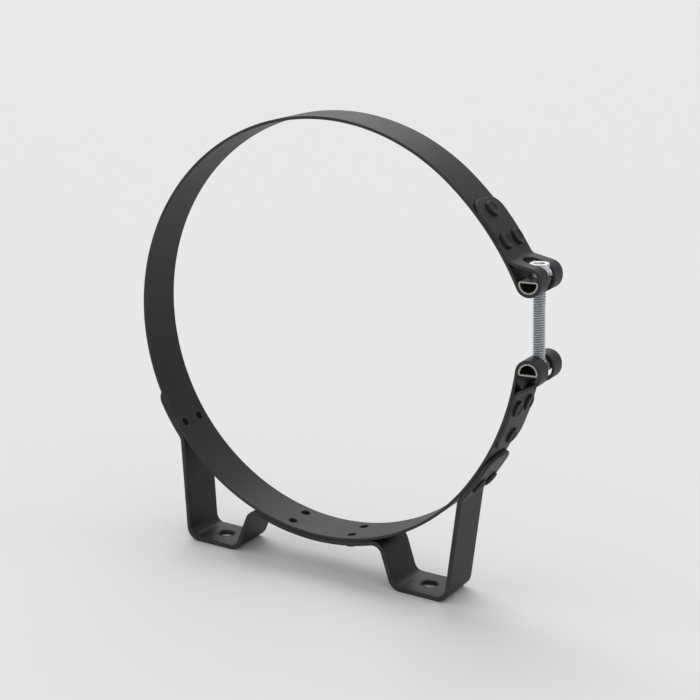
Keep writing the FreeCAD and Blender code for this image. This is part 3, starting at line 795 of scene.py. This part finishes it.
lapStack = 2 * bandSpec["thick"] + bandSpec["layerGap"]
bracketStack = bandSpec["thick"] + bandSpec["layerGap"] + bracketSpec["thick"]
clinchPieces = {}
for group, stack, depth, coat in (("clinchUpper", lapStack, clinchSpec["lapPitDepth"], bandCoat),
                                  ("clinchLower", lapStack, clinchSpec["lapPitDepth"], bandCoat),
                                  ("clinchBracket", bracketStack, clinchSpec["bracketPitDepth"], bracketCoat)):
    button = lathe(group + "Button", buttonProfile(clinchSpec, stack, depth), clinchSpec["sides"])
    bpy.context.scene.collection.objects.link(button)
    spotMesh = bpy.data.meshes.new(group + "Spots")
    spotMesh.from_pydata([spot for spot, axis in clinches[group]], [], [])
    axisLayer = spotMesh.attributes.new("axis", "FLOAT_VECTOR", "POINT")
    axisLayer.data.foreach_set("vector", [value for spot, axis in clinches[group] for value in axis])
    source = bpy.data.objects.new(group + "Source", spotMesh)
    clinchPieces[group] = bake(group, source, clinchTree, {"Button": button, "Size": 1.0, "Coat": coat})
    bpy.data.objects.remove(button)
print("clinches made:", {group: len(piece.data.polygons) for group, piece in clinchPieces.items()})


# clamp screw: a 5/16-18 socket head cap screw, its thread drawn by rule
screwSpec = {
    "seatLift": 1.53, "length": 63.5, "pitch": 25.4 / 18, "major": 3.95, "minor": 3.12, "chamfer": 0.9,
    "runOut": 3.0, "headRadius": 5.95, "headHeight": 7.94, "headEdge": 0.55, "socketFlats": 6.35, "socketDepth": 4.0,
    "stepsPerPitch": 12, "around": 48, "crestShare": 0.125, "rootShare": 0.25,
}


def screwPlacement(spec):
    out = -screwAxis
    base = Vector((ringCentre.x + upperPivot[0] * mm, 0, ringCentre.z + upperPivot[1] * mm)) + out * spec["seatLift"] * mm
    across = Vector((0, 1, 0))
    side = across.cross(out)
    turn = Matrix((side, across, out)).transposed().to_4x4()
    return Matrix.Translation(base) @ turn


threadTree, given, result = newTree("helicalThread", [
    ("Length", "NodeSocketFloat"), ("Pitch", "NodeSocketFloat"), ("Major Radius", "NodeSocketFloat"),
    ("Minor Radius", "NodeSocketFloat"), ("Run Out", "NodeSocketFloat"), ("Chamfer", "NodeSocketFloat"),
    ("Rows", "NodeSocketInt"), ("Around", "NodeSocketInt"), ("Finish", "NodeSocketMaterial")])


def calc(tree, operation, *terms):
    node = addNode(tree, "ShaderNodeMath", operation=operation)
    for k, term in enumerate(terms):
        if isinstance(term, (int, float)):
            node.inputs[k].default_value = term
        else:
            tree.links.new(term, node.inputs[k])
    return node.outputs[0]


grid = addNode(threadTree, "GeometryNodeMeshGrid", {"Size X": 1.0, "Size Y": 1.0},
               {"Vertices X": given.outputs["Rows"], "Vertices Y": given.outputs["Around"]})
where = addNode(threadTree, "GeometryNodeInputPosition")
parts = addNode(threadTree, "ShaderNodeSeparateXYZ", links={"Vector": where.outputs["Position"]})
# each row of the grid is one line of the right-hand helix, so crests and roots stay clean
along = calc(threadTree, "ADD", parts.outputs["X"], 0.5)
share = calc(threadTree, "ADD", parts.outputs["Y"], 0.5)
angle = calc(threadTree, "MULTIPLY", share, 2 * math.pi)
run = calc(threadTree, "ADD", given.outputs["Length"], given.outputs["Pitch"])
start = calc(threadTree, "MULTIPLY", along, run)
raw = calc(threadTree, "SUBTRACT", start, calc(threadTree, "MULTIPLY", share, given.outputs["Pitch"]))
depth = calc(threadTree, "MINIMUM", calc(threadTree, "MAXIMUM", raw, 0.0), given.outputs["Length"])
turns = calc(threadTree, "DIVIDE", start, given.outputs["Pitch"])
phase = calc(threadTree, "FRACT", calc(threadTree, "ADD", turns, 0.0001))
fromMiddle = calc(threadTree, "ABSOLUTE", calc(threadTree, "SUBTRACT", phase, 0.5))
flank = addNode(threadTree, "ShaderNodeMapRange", {
    "From Min": screwSpec["crestShare"] / 2, "From Max": 0.5 - screwSpec["rootShare"] / 2, "To Min": 1.0, "To Max": 0.0},
    {"Value": fromMiddle})
# the thread fades into the plain shank under the head
fade = addNode(threadTree, "ShaderNodeMapRange", {"To Min": 0.0, "To Max": 1.0},
               {"Value": depth, "From Max": given.outputs["Run Out"]})
height = calc(threadTree, "SUBTRACT", given.outputs["Major Radius"], given.outputs["Minor Radius"])
loss = calc(threadTree, "MULTIPLY", calc(threadTree, "SUBTRACT", 1.0, flank.outputs["Result"]), fade.outputs["Result"])
radius = calc(threadTree, "SUBTRACT", given.outputs["Major Radius"], calc(threadTree, "MULTIPLY", height, loss))
toEnd = calc(threadTree, "SUBTRACT", given.outputs["Length"], depth)
cone = calc(threadTree, "ADD", calc(threadTree, "SUBTRACT", given.outputs["Major Radius"], given.outputs["Chamfer"]), toEnd)
radius = calc(threadTree, "MINIMUM", radius, cone)
closed = calc(threadTree, "LESS_THAN", toEnd, 1e-7)
radius = calc(threadTree, "MULTIPLY", radius, calc(threadTree, "SUBTRACT", 1.0, closed))
shown = calc(threadTree, "SUBTRACT", depth, calc(threadTree, "MULTIPLY", closed, 0.00001))
placeAt = addNode(threadTree, "ShaderNodeCombineXYZ", links={
    "X": calc(threadTree, "MULTIPLY", radius, calc(threadTree, "COSINE", angle)),
    "Y": calc(threadTree, "MULTIPLY", radius, calc(threadTree, "SINE", angle)),
    "Z": calc(threadTree, "MULTIPLY", shown, -1.0)})
# the stored depth also sets the painted shade in the thread roots
marked = addNode(threadTree, "GeometryNodeStoreNamedAttribute", {"Name": "threadDepth"},
                 {"Geometry": grid.outputs["Mesh"], "Value": loss}, data_type="FLOAT", domain="POINT")
moved = addNode(threadTree, "GeometryNodeSetPosition", links={"Geometry": marked.outputs["Geometry"],
                                                              "Position": placeAt.outputs["Vector"]})
merged = addNode(threadTree, "GeometryNodeMergeByDistance", {"Distance": 0.000002}, {"Geometry": moved.outputs["Geometry"]})
real = addNode(threadTree, "GeometryNodeRealizeInstances", links={"Geometry": merged.outputs["Geometry"]})
plated = addNode(threadTree, "GeometryNodeSetMaterial", links={"Geometry": real.outputs["Geometry"],
                                                               "Material": given.outputs["Finish"]})
threadTree.links.new(plated.outputs["Geometry"], result.inputs["Geometry"])
rowCount = round((screwSpec["length"] / screwSpec["pitch"] + 1) * screwSpec["stepsPerPitch"]) + 1
shank = bake("screwShank", bpy.data.objects.new("shankSource", bpy.data.meshes.new("shankSource")), threadTree, {
    "Length": screwSpec["length"] * mm, "Pitch": screwSpec["pitch"] * mm, "Major Radius": screwSpec["major"] * mm,
    "Minor Radius": screwSpec["minor"] * mm, "Run Out": screwSpec["runOut"] * mm, "Chamfer": screwSpec["chamfer"] * mm,
    "Rows": rowCount, "Around": screwSpec["around"] + 1, "Finish": zincPlate})


def hexReach(flats, angle):
    # distance from the axis to a hexagon's side
    return flats / 2 / math.cos(math.radians((angle + 30) % 60 - 30))


def screwHead(spec):
    # rings from the shank's top, out under the head, over its rim, and down into the socket
    sides = 72
    angles = [360 * k / sides for k in range(sides)]
    edge, top, reach = spec["headEdge"], spec["headHeight"], spec["headRadius"]
    rings = [([spec["major"]] * sides, 0.0), ([reach - 0.25] * sides, 0.0), ([reach] * sides, 0.25)]
    for k in range(7):
        dx, dz = unit(90 * k / 6)
        rings.append(([reach - edge * (1 - dx)] * sides, top - edge * (1 - dz)))
    flats = spec["socketFlats"]
    mouth = flats / 2 / math.cos(math.radians(30)) + 0.28
    rings.append(([(reach - edge + mouth) / 2] * sides, top))
    rings.append(([mouth] * sides, top))
    hexagon = [hexReach(flats, a) for a in angles]
    rings.append(([min(mouth - 0.12, r + 0.18) for r in hexagon], top - 0.12))
    rings.append((hexagon, top - 0.45))
    rings.append((hexagon, top - spec["socketDepth"] + 0.15))
    rings.append(([r - 0.15 for r in hexagon], top - spec["socketDepth"]))
    rings.append(([1.6] * sides, top - spec["socketDepth"] - 0.5))
    build = bmesh.new()
    made = [[build.verts.new((r * unit(a)[0] * mm, r * unit(a)[1] * mm, z * mm)) for r, a in zip(radii, angles)]
            for radii, z in rings]
    for low, high in zip(made, made[1:]):
        for k in range(sides):
            n = (k + 1) % sides
            build.faces.new((low[k], low[n], high[n], high[k]))
    tip = build.verts.new((0, 0, (top - spec["socketDepth"] - 0.9) * mm))
    for k in range(sides):
        build.faces.new((made[-1][k], made[-1][(k + 1) % sides], tip))
    mesh = bpy.data.meshes.new("screwHead")
    build.to_mesh(mesh)
    build.free()
    mesh.shade_smooth()
    mesh.materials.append(zincPlate)
    head = bpy.data.objects.new("screwHead", mesh)
    bpy.context.scene.collection.objects.link(head)
    return head


head = screwHead(screwSpec)
for piece, sharp in ((shank, 65), (head, 38)):
    piece.data.transform(screwPlacement(screwSpec))
    piece.data.shade_smooth()
    piece.data.set_sharp_from_angle(angle=math.radians(sharp))
print("screw made:", len(shank.data.polygons), "thread faces")


# threaded insert in the lower trunnion: a flanged ring
insertSpec = {"radius": 4.78, "reach": 3.1, "flange": 5.6, "flangeThick": 1.0, "bore": 4.2, "lift": 1.5}
inner, outer = insertSpec["bore"], insertSpec["flange"]
insertProfile = [(inner, -insertSpec["reach"]), (insertSpec["radius"] - 0.15, -insertSpec["reach"]),
                 (insertSpec["radius"], -insertSpec["reach"] + 0.15), (insertSpec["radius"], 0.0), (outer - 0.1, 0.0),
                 (outer, 0.1), (outer, insertSpec["flangeThick"] - 0.15), (outer - 0.15, insertSpec["flangeThick"]),
                 (inner + 0.15, insertSpec["flangeThick"]), (inner, insertSpec["flangeThick"] - 0.15),
                 (inner, -insertSpec["reach"])]
insert = lathe("threadedInsert", insertProfile, 48)
bpy.context.scene.collection.objects.link(insert)
weld = bmesh.new()
weld.from_mesh(insert.data)
bmesh.ops.remove_doubles(weld, verts=weld.verts, dist=1e-6)
weld.to_mesh(insert.data)
weld.free()
downAxis = screwAxis.copy()
sideAxis = Vector((0, 1, 0)).cross(downAxis)
insertBase = Vector((ringCentre.x + lowerPivot[0] * mm, 0, ringCentre.z + lowerPivot[1] * mm))
insert.data.transform(Matrix.Translation(insertBase + downAxis * insertSpec["lift"] * mm)
                      @ Matrix((sideAxis, Vector((0, 1, 0)), downAxis)).transposed().to_4x4())
insert.data.materials.append(zincPlate)
insert.data.set_sharp_from_angle(angle=math.radians(40))


# what each piece moves with, and what it stands for
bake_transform(band)
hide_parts("band_upper", "band_lower")
for piece, body, slot in ((bracket, "base", "bracket_coat"), (upperTube, "upper_trunnion", "trunnion_steel"),
                          (lowerTube, "lower_trunnion", "trunnion_steel"), (insert, "lower_trunnion", "zinc_plate"),
                          (shank, "clamp_screw", "zinc_plate"), (head, "clamp_screw", "zinc_plate"),
                          (clinchPieces["clinchUpper"], "upper_band", "band_coat"),
                          (clinchPieces["clinchLower"], "base", "band_coat"),
                          (clinchPieces["clinchBracket"], "base", "bracket_coat")):
    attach(piece, body)
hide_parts("foot_bracket")
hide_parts("upper_trunnion")
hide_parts("lower_trunnion")
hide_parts("threaded_insert")
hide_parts("clamp_screw")
print("pieces joined to their bodies")


# stage: a plain pale floor that runs on past the view, soft light, and the camera
stageSpec = {"floor": "#e6e6e6", "world": "#ffffff", "wall": 0.48, "ceiling": 0.8, "farWall": 0.08, "backdrop": 0.81,
             "floorSize": 60.0, "sunPower": 1.12, "sunAngle": 55.0}
floorMesh = bpy.data.meshes.new("floor")
reach = stageSpec["floorSize"] / 2
floorMesh.from_pydata([(-reach, -reach, 0), (reach, -reach, 0), (reach, reach, 0), (-reach, reach, 0)], [], [(0, 1, 2, 3)])
floor = bpy.data.objects.new("floor", floorMesh)
bpy.context.scene.collection.objects.link(floor)
floorMaterial, floorTree, floorShader, place = newMaterial("paleStudioFloor")
floorShader.inputs["Base Color"].default_value = linearColour(stageSpec["floor"])
floorShader.inputs["Roughness"].default_value = 0.9
floorShader.inputs["Specular IOR Level"].default_value = 0.1
floorMesh.materials.append(floorMaterial)

world = bpy.data.worlds.new("paleRoom")
world.use_nodes = True
room = world.node_tree
background = room.nodes["Background"]
# the room is brightest overhead and behind the object, and its plain backdrop shows evenly
way = addNode(room, "ShaderNodeSeparateXYZ", links={"Vector": addNode(room, "ShaderNodeTexCoord").outputs["Generated"]})
rise = addNode(room, "ShaderNodeMapRange", {"From Min": 0.0, "From Max": 0.8, "To Min": stageSpec["wall"],
                                            "To Max": stageSpec["ceiling"]}, {"Value": way.outputs["Z"]})
far = addNode(room, "ShaderNodeMapRange", {"From Min": -0.1, "From Max": 0.6, "To Min": 0.0,
                                           "To Max": stageSpec["farWall"]}, {"Value": way.outputs["Y"]})
lit = addNode(room, "ShaderNodeMath", links={0: rise.outputs["Result"], 1: far.outputs["Result"]}, operation="ADD")
seen = addNode(room, "ShaderNodeLightPath")
strength = addNode(room, "ShaderNodeMix", {"B": stageSpec["backdrop"]},
                   {"Factor": seen.outputs["Is Camera Ray"], "A": lit.outputs[0]}, data_type="FLOAT")
background.inputs["Color"].default_value = linearColour(stageSpec["world"])
room.links.new(strength.outputs["Result"], background.inputs["Strength"])
bpy.context.scene.world = world
bpy.context.scene.view_settings.view_transform = "Standard"


bank = bpy.data.lights.new("lampBank", "SUN")
bank.energy = stageSpec["sunPower"]
bank.angle = math.radians(stageSpec["sunAngle"])
lamp = bpy.data.objects.new("lampBank", bank)
lamp.rotation_euler = Vector((-0.5, 0.7, 0.85)).to_track_quat("Z", "Y").to_euler()
bpy.context.scene.collection.objects.link(lamp)

cameraSpec = {"azimuth": 29.035, "elevation": 16.089, "roll": 1.5935, "distance": 1.067693,
              "right": -0.010299, "up": 0.0134155, "lens": 88.12}
ca, sa = unit(cameraSpec["azimuth"])
ce, se = unit(cameraSpec["elevation"])
cr, sr = unit(cameraSpec["roll"])
back = Vector((sa * ce, -ca * ce, se))
right, upward = Vector((ca, sa, 0)), Vector((-sa * se, ca * se, ce))
rolledRight, rolledUp = right * cr + upward * sr, upward * cr - right * sr
camera = bpy.data.objects.new("camera", bpy.data.cameras.new("camera"))
camera.data.lens = cameraSpec["lens"]
camera.data.sensor_width = 36.0
camera.data.clip_end = 50.0
camera.matrix_world = Matrix.Translation(
    ringCentre - rolledRight * cameraSpec["right"] - rolledUp * cameraSpec["up"] + back * cameraSpec["distance"]
) @ Matrix((rolledRight, rolledUp, back)).transposed().to_4x4()
bpy.context.scene.collection.objects.link(camera)
bpy.context.scene.camera = camera
print("stage set")
